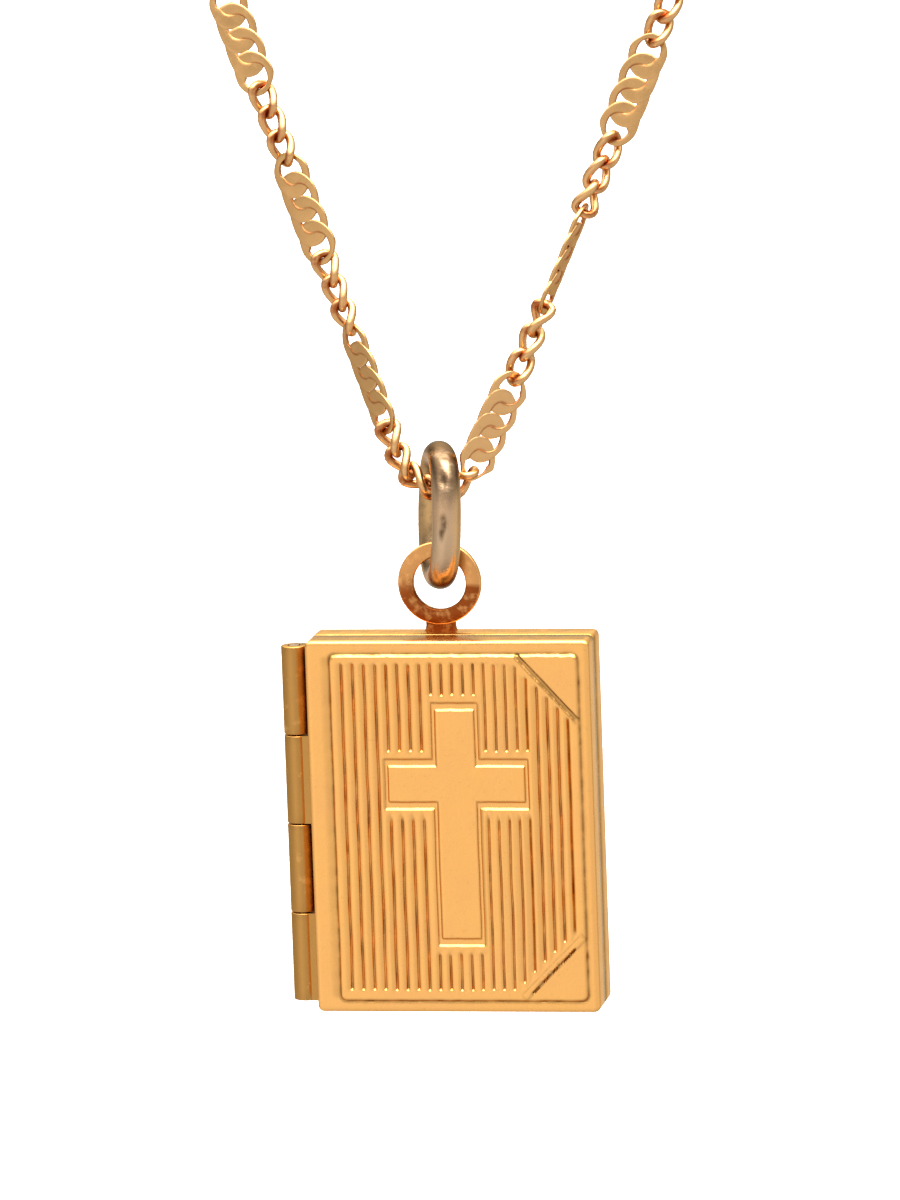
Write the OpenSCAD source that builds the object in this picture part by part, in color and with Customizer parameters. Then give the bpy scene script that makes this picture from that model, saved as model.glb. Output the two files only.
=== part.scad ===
/* [Leaves] */
// Width of each leaf without the hinge
leaf_w = 15.2; // [14:0.1:17]
// Height of each leaf
leaf_h = 20; // [19:0.1:22]
// Depth of each leaf from the seam to its flat margin
leaf_d = 1.9; // [1.6:0.05:2.4]
// Thickness of the sheet metal
sheet_t = 0.35; // [0.3:0.01:0.45]
// Rounding of the leaf edges
edge_r = 0.35; // [0.2:0.01:0.45]
// Gap between the closed leaves
seam_gap = 0.1; // [0.06:0.01:0.2]
// Height of the snap rim inside the back leaf above the seam
rim_h = 0.5; // [0.3:0.05:0.8]
// Thickness of the snap rim
rim_t = 0.3; // [0.25:0.01:0.4]
// Gap between the snap rim and the wall of the front leaf
rim_gap = 0.12; // [0.08:0.01:0.2]

/* [Relief] */
// Height of the raised panel above the margin
panel_rise = 0.12; // [0.08:0.01:0.15]
// Left edge of the panel from the left side of the leaf
panel_left = 1.31; // [1:0.01:1.5]
// Right edge of the panel from the left side of the leaf
panel_right = 14.58; // [14.3:0.01:14.7]
// Top edge of the panel below the top of the leaf
panel_top = 0.75; // [0.6:0.01:0.9]
// Bottom edge of the panel below the top of the leaf
panel_bottom = 19.35; // [19.2:0.01:19.4]
// Number of grooves across the panel
groove_n = 22; // [22:1:22]
// Place of the first groove from the left side of the leaf
groove_x = 1.94; // [1.8:0.01:2]
// Distance between neighbouring grooves
groove_pitch = 0.573; // [0.56:0.001:0.58]
// How much wider the grooves stand towards the middle
groove_ease = 0.0017; // [0:0.0001:0.002]
// Width of a groove
groove_w = 0.18; // [0.14:0.01:0.22]
// Upper end of the grooves below the top of the leaf
groove_top = 1.15; // [1.1:0.01:1.3]
// Lower end of the grooves below the top of the leaf
groove_bottom = 18.8; // [18.6:0.01:18.9]
// Middle of the cross from the left side of the leaf
cross_x = 7.93; // [7.8:0.01:8]
// Width of the upright of the cross
upright_w = 2.1; // [2:0.01:2.2]
// Length of the crossbar
bar_w = 7.3; // [7.2:0.01:7.4]
// Top of the cross below the top of the leaf
cross_top = 3.68; // [3.5:0.01:3.8]
// Top of the crossbar below the top of the leaf
bar_top = 6.7; // [6.5:0.01:6.9]
// Bottom of the crossbar below the top of the leaf
bar_bottom = 8.62; // [8.5:0.01:8.8]
// Foot of the cross below the top of the leaf
cross_bottom = 15.98; // [15.8:0.01:16.2]
// Width of the sunk line above and below the cross
moat_w = 0.38; // [0.3:0.01:0.42]
// Width of the sunk line beside the cross
moat_side = 0.2; // [0.16:0.01:0.24]
// Plain border between the sunk line and the ends of the grooves
border_w = 0.38; // [0.3:0.01:0.42]
// How far the slanting lines reach in from each corner at the right
corner_l = 3.4; // [3.2:0.01:3.5]

/* [Hinge] */
// Radius of the hinge barrel
barrel_r = 0.7; // [0.65:0.01:0.75]
// Distance of the hinge axis from the left side of the leaves
barrel_out = 0.9; // [0.88:0.01:1]
// Length of the hinge barrel
barrel_l = 19.2; // [18.8:0.1:19.4]
// Top of the barrel below the top of the leaves
barrel_top = 0.5; // [0.3:0.05:0.6]
// Radius of the hinge pin
pin_r = 0.28; // [0.25:0.01:0.3]
// Gap round the pin and between the knuckles
hinge_gap = 0.07; // [0.06:0.01:0.1]

/* [Eye and bail] */
// Outer radius of the eye ring
eye_r = 2.23; // [2.1:0.01:2.4]
// Radius of the hole in the eye ring
eye_hole_r = 1.4; // [1.35:0.01:1.5]
// Thickness of the eye ring
eye_t = 0.45; // [0.4:0.01:0.5]
// Place of the eye from the left side of the leaves
eye_x = 6.82; // [6.5:0.01:7.1]
// Height of the eye centre above the top of the leaves
eye_z = 2.55; // [2.5:0.01:2.8]
// Distance of the eye behind the seam
eye_y = 1.3; // [1.1:0.01:1.4]
// Width of the stem under the eye
stem_w = 1.6; // [1.4:0.1:1.8]
// Diameter of the bail wire
bail_wire = 1.54; // [1.4:0.01:1.6]
// Outer height of the bail
bail_h = 7.87; // [7.6:0.01:8.2]
// Outer depth of the bail
bail_d = 5.8; // [5.6:0.1:6]
// Turn of the bail about its upright axis
bail_turn = 20; // [15:1:25]
// Forward lean of the locket where it hangs in balance
lean = 5.6; // [4:0.1:7]
// Sideways lean of the locket where it hangs in balance
roll = 1.05; // [0:0.05:2]

/* [Chain] */
// Distance between link centres along the chain
link_pitch = 1.375; // [1.36:0.001:1.39]
// Diameter of the link wire
link_wire = 0.32; // [0.31:0.01:0.34]
// Outer length of a plain link
link_l = 2.208; // [2.19:0.001:2.22]
// Outer width of a plain link
link_w = 1.5; // [1.48:0.01:1.54]
// Rise of the twist of a plain link
link_twist = 0.3; // [0.28:0.01:0.34]
// Rise of the twist of the links at the bail, which bend the most
apex_twist = 0.45; // [0.42:0.01:0.48]
// Rise of the twist of a link's end beside a pressed part
plate_twist = 0.78; // [0.74:0.01:0.82]
// Thickness of the pressed flat parts
plate_t = 0.26; // [0.24:0.01:0.28]
// Width of the pressed flat parts
plate_w = 2.07; // [2:0.01:2.1]
// Rise of the slope of each straight strand
strand_slope = 68.3; // [67:0.1:70]
// Backward tilt of the whole loop
loop_tilt = 5; // [3:1:8]
// Number of the last link on each side
last_link = 164; // [164:7:164]

/* [Clasp] */
// Radius of the middle line of the clasp ring
clasp_r = 2.5; // [2.4:0.05:2.8]
// Diameter of the wire of the clasp ring
clasp_wire = 0.8; // [0.7:0.05:0.9]
// Radius of the middle line of each end ring
end_ring_r = 1.15; // [1.1:0.01:1.2]
// Diameter of the wire of each end ring
end_ring_wire = 0.4; // [0.35:0.01:0.42]

/* [Hidden] */
gold = "#E9AE6B";
worn_gold = "#B07C42";
bail_gold = "#BFA07A";
chain_gold = "#E2A05C";
far = 40;
play = 0.1;
round_fn = 48;

knuckle_n = 4;
knuckle_l = barrel_l / knuckle_n;
panel_mid = (panel_left + panel_right) / 2;
corner_groove_w = 0.2;
corner_clear = [0.5, 0.92];
corner_short = [0.2, 0.5];
cut_below = 0.02;
stem_root = 0.2;
web_near = 0.12;
web_far = 0.6;

// The bail is measured from the middle of the link in it
bail_mid_r = (bail_d - bail_wire) / 2;
bail_straight = bail_h - bail_d;
link_below_bail = 0.92;
wire_above_eye = eye_hole_r - bail_wire / 2 - 2 * play;
bail_top_z = link_below_bail + bail_wire / 2;
bail_foot_z = bail_top_z - 2 * bail_mid_r - bail_straight;

// Slopes of the first links on each side, then the strand's own
left_slopes = [0, 34, 61];
right_slopes = [0, 35, 66, 66, 66, 66];
apex_links = 2;
apex_slack = 0.08;
// Outline of a pressed part's ends: its tip, its last scallop and the hole for the next link
tip_r = 0.62;
end_r = 0.93;
end_in = 0.05;
hole_r = 0.52;
hole_rim = 0.26;
hole_out = 0.16;
// Turn of the links about the chain, by link number
left_rolls = [[0, 70], [1, 59], [2, 49], [4, 46], [7, 44], [11, 20], [14, 16], [19, 0]];
right_rolls = [[0, 70], [1, 58], [2, 32], [5, 32], [9, -95], [12, -95], [16, -180]];
// First link number of each pressed part, and how many links it takes up
plate_links = 4;
period = 7;
left_plates = [for (k = [4:period:last_link - 6]) [k, plate_links]];
right_plates = [for (k = [2:period:last_link - 6]) [k, plate_links]];

// The thumb knob of the clasp
knob_l = 1.1;
knob_r = 0.22;

// Where the last link has to end, beside the clasp
last_gap = 0.2;
end_ring_x = clasp_r + end_ring_r - end_ring_wire / 2 - play - clasp_wire / 2;
last_link_x = end_ring_x + end_ring_r - end_ring_wire / 2 - last_gap - link_wire + link_l / 2;

function in_plate(k, plates) = len([for (p = plates) if (k >= p[0] && k < p[0] + p[1]) p]) > 0;
// A pressed part is straight, so its links all have the slope of its middle
function stiff(k, plates) = let (p = [for (p = plates) if (k >= p[0] && k < p[0] + p[1]) p])
    len(p) > 0 ? p[0][0] + (p[0][1] - 1) / 2 : k;
function heading(a) = [cos(a), sin(a)];
function slope(k, bend, plates, first) = k < len(first) ? first[k]
    : strand_slope + max(0, stiff(k, plates) - bend) * (180 - strand_slope) / (last_link - bend);
function pitch(k) = link_pitch - (k < apex_links ? apex_slack : 0);
function step(k, bend, plates, first) = pitch(k) / 2
    * (heading(slope(k, bend, plates, first)) + heading(slope(k + 1, bend, plates, first)));
function route(bend, plates, first) = [for (k = 0, p = [0, 0]; k <= last_link;
    p = p + step(k, bend, plates, first), k = k + 1) p];
// Halves the span of link numbers until the round end starts where the loop closes
function bend_start(low, high, steps, plates, first) = let (mid = (low + high) / 2) steps == 0 ? mid
    : route(mid, plates, first)[last_link].x > last_link_x ? bend_start(low, mid, steps - 1, plates, first)
    : bend_start(mid, high, steps - 1, plates, first);
left_bend = bend_start(40, 140, 24, left_plates, left_slopes);
right_bend = bend_start(40, 140, 24, right_plates, right_slopes);
left_stops = route(left_bend, left_plates, left_slopes);
right_stops = route(right_bend, right_plates, right_slopes);
loop_h = (left_stops[last_link].y + right_stops[last_link].y) / 2;

// Puts a shape drawn flat, x across and y up the strands, into the tilted plane of the loop
module in_loop_plane() {
    translate([0, -loop_h * sin(loop_tilt), -loop_h * cos(loop_tilt)])
        rotate([90 - loop_tilt, 0, 0]) children();
}

// Places a link by its middle, its slope and its turn about the chain
module at_link(p, side, a, turn) {
    translate([side * p.x, p.y, 0]) rotate([0, 0, side * a]) rotate([turn, 0, 0]) children();
}

// A curb link: an oval of wire whose ends are twisted, as one swept tube.
// twist_a and twist_b are the rise of the twist at its two ends.
module plain_link(twist_a, twist_b) {
    rings = 10;
    sides = 5;
    long_r = (link_l - link_wire) / 2;
    wide_r = (link_w - link_wire) / 2;
    wire_r = link_wire / 2;
    function lift(t) = sin(2 * t) * ((twist_b + twist_a) + (twist_b - twist_a) * cos(t)) / 2;
    function mid(t) = [long_r * cos(t), wide_r * sin(t), lift(t)];
    function unit(v) = v / norm(v);
    function along(t) = unit(mid(t + 1) - mid(t - 1));
    function out(t) = unit(cross([0, 0, 1], along(t)));
    points = [for (i = [0:rings - 1]) let (t = 360 * i / rings, o = out(t), u = cross(along(t), o))
        for (j = [0:sides - 1]) let (s = 360 * j / sides) mid(t) + wire_r * (cos(s) * o + sin(s) * u)];
    faces = [for (i = [0:rings - 1], j = [0:sides - 1], half = [0, 1]) let (a = i * sides,
        b = (i + 1) % rings * sides, k = (j + 1) % sides)
        half == 0 ? [a + j, b + j, b + k] : [a + j, b + k, a + k]];
    polyhedron(points, faces, convexity = 4);
}

// The outline round two circles, one at x0 and a smaller one at x1
module taper(x0, r0, x1, r1) {
    e = acos((r0 - r1) / abs(x1 - x0)) * [1, -1];
    d = sign(x1 - x0);
    translate([x0, 0]) circle(r0, $fn = round_fn);
    translate([x1, 0]) circle(r1, $fn = round_fn);
    polygon([for (a = e) [x0 + d * r0 * cos(a), r0 * sin(a)],
        for (a = -e) [x1 + d * r1 * cos(a), r1 * sin(a)]]);
}

// A stretch of n links pressed flat: round scallops, narrower at its two ends, with a hole at each
// end for the next link
module pressed_part(n) {
    tip_x = n * link_pitch / 2 + (link_l - link_pitch) / 2 - tip_r;
    end_x = (n - 1) / 2 * link_pitch;
    linear_extrude(plate_t, center = true) difference() {
        union() {
            for (i = [1:n - 2]) translate([(i - (n - 1) / 2) * link_pitch, 0])
                circle(plate_w / 2, $fn = round_fn);
            for (s = [-1, 1]) taper(s * (end_x - end_in), end_r, s * tip_x, tip_r);
        }
        for (s = [-1, 1]) taper(s * (end_x + hole_out), hole_r, s * tip_x, tip_r - hole_rim);
    }
}

// A plain round ring
module ring(r, wire) {
    rotate_extrude($fn = round_fn) translate([r, 0]) circle(wire / 2, $fn = 24);
}

// The rise of the twist of link k at the end beside link other
function twist(k, other, plates) = in_plate(other, plates) ? plate_twist
    : k <= apex_links ? apex_twist : link_twist;

// One side of the chain from link number first on: plain links, pressed parts and the end ring
module strand(side, first, stops, slopes, plates, rolls) {
    in_loop_plane() {
        for (k = [first:last_link]) if (!in_plate(k, plates))
            at_link(stops[k], side, slopes[k], lookup(k, rolls))
                plain_link(twist(k, k - side, plates), twist(k, k + side, plates));
        for (p = plates) {
            low = p[0] + floor((p[1] - 1) / 2);
            high = p[0] + ceil((p[1] - 1) / 2);
            at_link((stops[low] + stops[high]) / 2, side, slopes[low], lookup((low + high) / 2, rolls))
                pressed_part(p[1]);
        }
        translate([side * end_ring_x, stops[last_link].y, 0]) rotate([90, 0, 0])
            ring(end_ring_r, end_ring_wire);
    }
}

// Puts the locket, drawn with its top left corner at the origin, under the bail
module hung() {
    pivot = [eye_x, eye_y, eye_z + wire_above_eye];
    translate([0, -loop_h * sin(loop_tilt), -loop_h * cos(loop_tilt) + bail_foot_z])
        rotate([lean, 0, 0]) rotate([0, -roll, 0]) translate(-pivot) children();
}

// A rectangle from one corner to the other with round corners
module rounded_rect(x0, y0, x1, y1, r) {
    translate([x0 + r, y0]) square([x1 - x0 - 2 * r, y1 - y0]);
    translate([x0, y0 + r]) square([x1 - x0, y1 - y0 - 2 * r]);
    for (x = [x0 + r, x1 - r], y = [y0 + r, y1 - r]) translate([x, y]) circle(r, $fn = round_fn);
}

// A profile of width w whose two corners away from the seam are round
module edge_profile(w, depth, r) {
    translate([0, -depth + r]) square([w, depth - r]);
    translate([r, -depth]) square([w - 2 * r, depth]);
    for (x = [r, w - r]) translate([x, -depth + r]) circle(r, $fn = round_fn);
}

// A leaf's pressed tray, open at the seam, with its outer edges rounded
module tray() {
    difference() {
        intersection() {
            rotate([90, 0, 0]) linear_extrude(leaf_d) rounded_rect(0, -leaf_h, leaf_w, 0, edge_r);
            translate([0, 0, -leaf_h]) linear_extrude(leaf_h) edge_profile(leaf_w, leaf_d, edge_r);
            rotate([90, 0, 90]) linear_extrude(leaf_w) rotate(-90) edge_profile(leaf_h, leaf_d, edge_r);
            translate([-far / 2, -far, -far]) cube([far, far - seam_gap / 2, far]);
        }
        translate([sheet_t, -leaf_d + sheet_t, -leaf_h + sheet_t])
            cube([leaf_w - 2 * sheet_t, leaf_d, leaf_h - 2 * sheet_t]);
    }
}

// A groove with round ends between two points
module slot(a, b, w) {
    l = norm(b - a);
    translate(a) rotate(atan2(b.y - a.y, b.x - a.x)) {
        translate([0, -w / 2]) square([l, w]);
        for (x = [0, l]) translate([x, 0]) circle(w / 2, $fn = 24);
    }
}

// The cross, grown by a at its sides and by b at its ends
module cross_shape(a, b) {
    translate([cross_x - upright_w / 2 - a, -cross_bottom - b])
        square([upright_w + 2 * a, cross_bottom - cross_top + 2 * b]);
    translate([cross_x - bar_w / 2 - a, -bar_bottom - b])
        square([bar_w + 2 * a, bar_bottom - bar_top + 2 * b]);
}

// The stretches of a groove at x, from top to bottom, that the cross and the corners leave
function stretches(x) = let (
    off = abs(x - cross_x),
    into = x - panel_right + corner_l,
    top = max(groove_top, panel_top + into + corner_clear[0]),
    bottom = min(groove_bottom, panel_bottom - into - corner_clear[1]),
    gap = moat_w + border_w)
    off < upright_w / 2 + moat_side + border_w / 2 ? [[top, cross_top - gap], [cross_bottom + gap, bottom]]
    : off < bar_w / 2 + moat_side + border_w / 2 ? [[top, bar_top - gap], [bar_bottom + gap, bottom]]
    : [[top, bottom]];

// Everything that is pressed into the front panel, seen from the front
module pressed_lines() {
    for (i = [0:groove_n - 1]) {
        x = groove_x + i * groove_pitch + groove_ease * i * (groove_n - 1 - i);
        for (s = stretches(x))
            slot([x, -s[0] - groove_w / 2], [x, -s[1] + groove_w / 2], groove_w);
    }
    difference() {
        cross_shape(moat_side, moat_w);
        cross_shape(0, 0);
    }
    start = panel_right - corner_l;
    slot([start + corner_short[0], -panel_top - corner_short[0]],
        [panel_right - corner_short[0], -panel_top - corner_l + corner_short[0]], corner_groove_w);
    slot([start + corner_short[1], -panel_bottom + corner_short[1]],
        [panel_right - corner_short[1], -panel_bottom + corner_l - corner_short[1]], corner_groove_w);
}

// The knuckles with the given numbers, counted from the top, joined to the leaf on the side y
module knuckles(numbers, y) {
    for (i = numbers) translate([-barrel_out, 0, -barrel_top - (i + 1) * knuckle_l + hinge_gap / 2]) {
        cylinder(h = knuckle_l - hinge_gap, r = barrel_r, $fn = round_fn);
        translate([0, y < 0 ? -web_far : web_near, 0])
            cube([barrel_out + sheet_t / 2, web_far - web_near, knuckle_l - hinge_gap]);
    }
}

// The bore for the hinge pin through the whole barrel
module pin_bore() {
    translate([-barrel_out, 0, -far / 2 - leaf_h / 2])
        cylinder(h = far, r = pin_r + hinge_gap, $fn = round_fn);
}

// The front cover with the pressed cross and its two knuckles
module front_leaf() {
    color(gold) hung() difference() {
        union() {
            tray();
            translate([0, -leaf_d + sheet_t / 2, 0]) rotate([90, 0, 0])
                linear_extrude(panel_rise + sheet_t / 2)
                rounded_rect(panel_left, -panel_bottom, panel_right, -panel_top, edge_r);
            knuckles([1, 3], -1);
        }
        translate([0, -leaf_d + cut_below, 0]) rotate([90, 0, 0])
            linear_extrude(leaf_d) pressed_lines();
        pin_bore();
    }
}

// The frame inside the back leaf that the front leaf closes over
module snap_rim() {
    in = sheet_t + rim_gap;
    depth = leaf_d - sheet_t / 2 + rim_h;
    translate([0, -rim_h, 0]) difference() {
        translate([in, 0, -leaf_h + in]) cube([leaf_w - 2 * in, depth, leaf_h - 2 * in]);
        translate([in + rim_t, -rim_t, -leaf_h + in + rim_t])
            cube([leaf_w - 2 * (in + rim_t), depth + 2 * rim_t, leaf_h - 2 * (in + rim_t)]);
    }
}

// The flat eye ring and its stem, soldered to the top of the back leaf
module eye() {
    translate([eye_x, eye_y + eye_t / 2, 0]) rotate([90, 0, 0]) {
        translate([0, eye_z]) cylinder(h = eye_t, r = eye_r, $fn = 64);
        translate([-stem_w / 2, -stem_root, 0]) cube([stem_w, eye_z - eye_hole_r, eye_t]);
    }
}

// The back cover with the snap rim, the eye and its two knuckles
module back_leaf() {
    color(gold) hung() difference() {
        union() {
            mirror([0, 1, 0]) tray();
            snap_rim();
            knuckles([0, 2], 1);
            eye();
        }
        translate([eye_x, eye_y + far / 2, eye_z]) rotate([90, 0, 0])
            cylinder(h = far, r = eye_hole_r, $fn = 64);
        pin_bore();
    }
}

// The hinge pin through all the knuckles
module hinge_pin() {
    color(worn_gold) hung() translate([-barrel_out, 0, -barrel_top - barrel_l + hinge_gap / 2])
        cylinder(h = barrel_l - hinge_gap, r = pin_r, $fn = 24);
}

// The thick oval ring between the chain and the eye
module bail() {
    r = bail_wire / 2;
    color(bail_gold)
        translate([0, -loop_h * sin(loop_tilt), -loop_h * cos(loop_tilt) + (bail_top_z + bail_foot_z) / 2])
        rotate([90, 0, bail_turn - 90]) for (s = [-1, 1]) {
            translate([0, s * bail_straight / 2, 0]) rotate([0, 0, s < 0 ? 180 : 0])
                rotate_extrude(angle = 180, $fn = round_fn) translate([bail_mid_r, 0]) circle(r, $fn = 24);
            translate([s * bail_mid_r, bail_straight / 2, 0]) rotate([90, 0, 0])
                cylinder(h = bail_straight, r = r, $fn = 24);
        }
}

// The chain from the link in the bail up the left side
module chain_left() {
    slopes = [for (k = [0:last_link]) slope(k, left_bend, left_plates, left_slopes)];
    color(chain_gold) strand(-1, 0, left_stops, slopes, left_plates, left_rolls);
}

// The chain from the first link beside the bail up the right side
module chain_right() {
    slopes = [for (k = [0:last_link]) slope(k, right_bend, right_plates, right_slopes)];
    color(chain_gold) strand(1, 1, right_stops, slopes, right_plates, right_rolls);
}

// A plain ring clasp with its sleeve and thumb knob, at the nape
module clasp() {
    color(chain_gold) in_loop_plane() translate([0, loop_h, 0]) {
        ring(clasp_r, clasp_wire);
        rotate([0, 0, 60]) rotate_extrude(angle = 60, $fn = round_fn)
            translate([clasp_r, 0]) circle(clasp_wire / 2 + play, $fn = 24);
        translate([0, clasp_r, 0]) rotate([-90, 0, 0]) cylinder(h = knob_l, r = knob_r, $fn = 24);
    }
}

front_leaf();
back_leaf();
hinge_pin();
bail();
chain_left();
chain_right();
clasp();
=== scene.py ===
"""A book-shaped cross locket on its chain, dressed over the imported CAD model.

Every piece is a surface worked out with numpy in millimetres, in the frame of the part, and put
into a mesh in metres. The locket's pieces are drawn flat, with the top left corner of the closed
leaves at the origin, and then hung under the bail as the part's source hangs them.
"""
import logging
import math
from dataclasses import dataclass, field
from enum import Enum

import bmesh
import bpy
import numpy as np
from mathutils import Matrix, Quaternion, Vector


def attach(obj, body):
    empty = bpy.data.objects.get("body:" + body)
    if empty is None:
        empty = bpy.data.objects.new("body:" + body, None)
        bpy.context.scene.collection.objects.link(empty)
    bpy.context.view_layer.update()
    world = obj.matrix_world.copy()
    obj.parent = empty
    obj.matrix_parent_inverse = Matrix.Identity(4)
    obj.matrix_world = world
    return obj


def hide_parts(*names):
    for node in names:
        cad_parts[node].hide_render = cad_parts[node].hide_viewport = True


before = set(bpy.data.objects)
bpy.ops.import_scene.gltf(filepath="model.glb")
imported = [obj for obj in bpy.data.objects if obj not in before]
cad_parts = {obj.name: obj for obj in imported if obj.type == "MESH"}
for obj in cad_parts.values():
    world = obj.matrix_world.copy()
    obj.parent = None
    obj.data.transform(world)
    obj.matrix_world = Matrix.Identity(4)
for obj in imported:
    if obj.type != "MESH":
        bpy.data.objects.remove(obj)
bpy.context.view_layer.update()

MM = 0.001
SEED = 20
LOG = logging.getLogger("locket")
Array = np.ndarray
Socket = bpy.types.NodeSocket
Pair = tuple[float, float]
Triple = tuple[float, float, float]


# ---- surfaces

def smooth(t: Array) -> Array:
    """The soft step 3 t^2 - 2 t^3 of t held between 0 and 1."""
    t = np.clip(t, 0.0, 1.0)
    return t * t * (3.0 - 2.0 * t)


def ramp(d: Array, width: float) -> Array:
    """A soft edge, 0 outside and 1 inside, half way up where d is 0: smooth(d / width + 1 / 2)."""
    return smooth(d / width + 0.5)


def bent(w: Array, power: Array | float) -> Array:
    """The size of w to a power with the sign of w, which squares up a circle's cosine and sine."""
    return np.sign(w) * np.abs(w) ** power


def around(count: int) -> Array:
    """Angles evenly round a full turn, in radians, from 0."""
    return np.linspace(0.0, math.tau, count, endpoint=False)


def turn(axis: str, degrees: float) -> Array:
    """The 3 by 3 matrix, multiplied from the left, of a right-handed turn about X, Y or Z."""
    return np.array(Matrix.Rotation(math.radians(degrees), 3, axis))


def waves(rng: np.random.Generator, x: Array, lengths: Pair, count: int) -> Array:
    """A slow wobble between about -1 and 1: a sum of sines sin(2 pi x / length + phase).

    Args:
        rng: the seeded source of the phases and lengths.
        x: where the wobble is wanted, in mm.
        lengths: shortest and longest wavelength, in mm.
        count: number of sines.

    Returns:
        The wobble at each x.
    """
    long = rng.uniform(*lengths, count)
    phase = rng.uniform(0.0, math.tau, count)
    return np.sin(math.tau * x[..., None] / long + phase).mean(-1) * 1.6


def revolved(profile: list[Pair], count: int, at: Triple, upright: bool = False) -> Array:
    """Carries a profile round an axis along y, (r cos t, along, r sin t), or along z, (r cos t, r sin t, along).

    Args:
        profile: distances from the axis and along it, in mm.
        count: points round the axis.
        at: where the axis starts, in mm.
        upright: the axis is along z.

    Returns:
        The points, of shape (profile, count, 3), in mm.
    """
    t = around(count)
    r, along = np.array(profile).T[..., None]
    across, aside, along = r * np.cos(t), r * np.sin(t), np.broadcast_to(along, (len(profile), count))
    return np.stack([across, aside, along] if upright else [across, along, aside], -1) + at


def tangent(p: Array) -> Array:
    """The direction of a closed line at each point, from the point before to the point after."""
    along = np.roll(p, -1, 0) - np.roll(p, 1, 0)
    return along / np.linalg.norm(along, axis=1, keepdims=True)


def swept(mid: Array, out: Array, up: Array, radius: Array | float, s: Array) -> Array:
    """Carries round wire along a line: mid + radius (out cos s + up sin s), of shape (line, wire, 3)."""
    across, rise = (radius * np.cos(s))[..., None], (radius * np.sin(s))[..., None]
    return mid[:, None] + across * out[:, None] + rise * up[:, None]


@dataclass(frozen=True)
class Face:
    """A grid of points on a leaf's face, x from its left side and z below its top, in mm."""

    x: Array
    z: Array

    @classmethod
    def cut(cls, xs: Array, zs: Array) -> "Face":
        """The grid with a point at every x and z."""
        return cls(*np.meshgrid(xs, zs, indexing="ij"))

    def at(self, y: Array | float) -> Array:
        """The points in space, at depth y."""
        return np.stack([self.x, np.broadcast_to(y, self.x.shape), -self.z], -1)

    def from_rim(self) -> Array:
        """How far each point lies inside the grid's own edges, in mm."""
        return np.minimum(*(np.minimum(v - v.min(), v.max() - v) for v in (self.x, self.z)))

    def box(self, low: Pair, high: Pair, soft: Pair) -> Array:
        """A soft-edged rectangle: ramp(nearest side in x) ramp(nearest side in z)."""
        return (ramp(np.minimum(self.x - low[0], high[0] - self.x), soft[0])
                * ramp(np.minimum(self.z - low[1], high[1] - self.z), soft[1]))

    def slant(self, a: Pair, b: Pair, half: float) -> Array:
        """A line from a to b: exp(-(d / half)^6) across it, with soft ends along it.

        Args:
            a: the line's start.
            b: its end.
            half: half its width, in mm.

        Returns:
            1 on the line and 0 well off it.
        """
        dx, dz, x, z = b[0] - a[0], b[1] - a[1], self.x - a[0], self.z - a[1]
        length = math.hypot(dx, dz)
        along, across = (x * dx + z * dz) / length, (x * dz - z * dx) / length
        return np.exp(-(across / half) ** 6) * ramp(along, 0.2) * ramp(length - along, 0.2)


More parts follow.
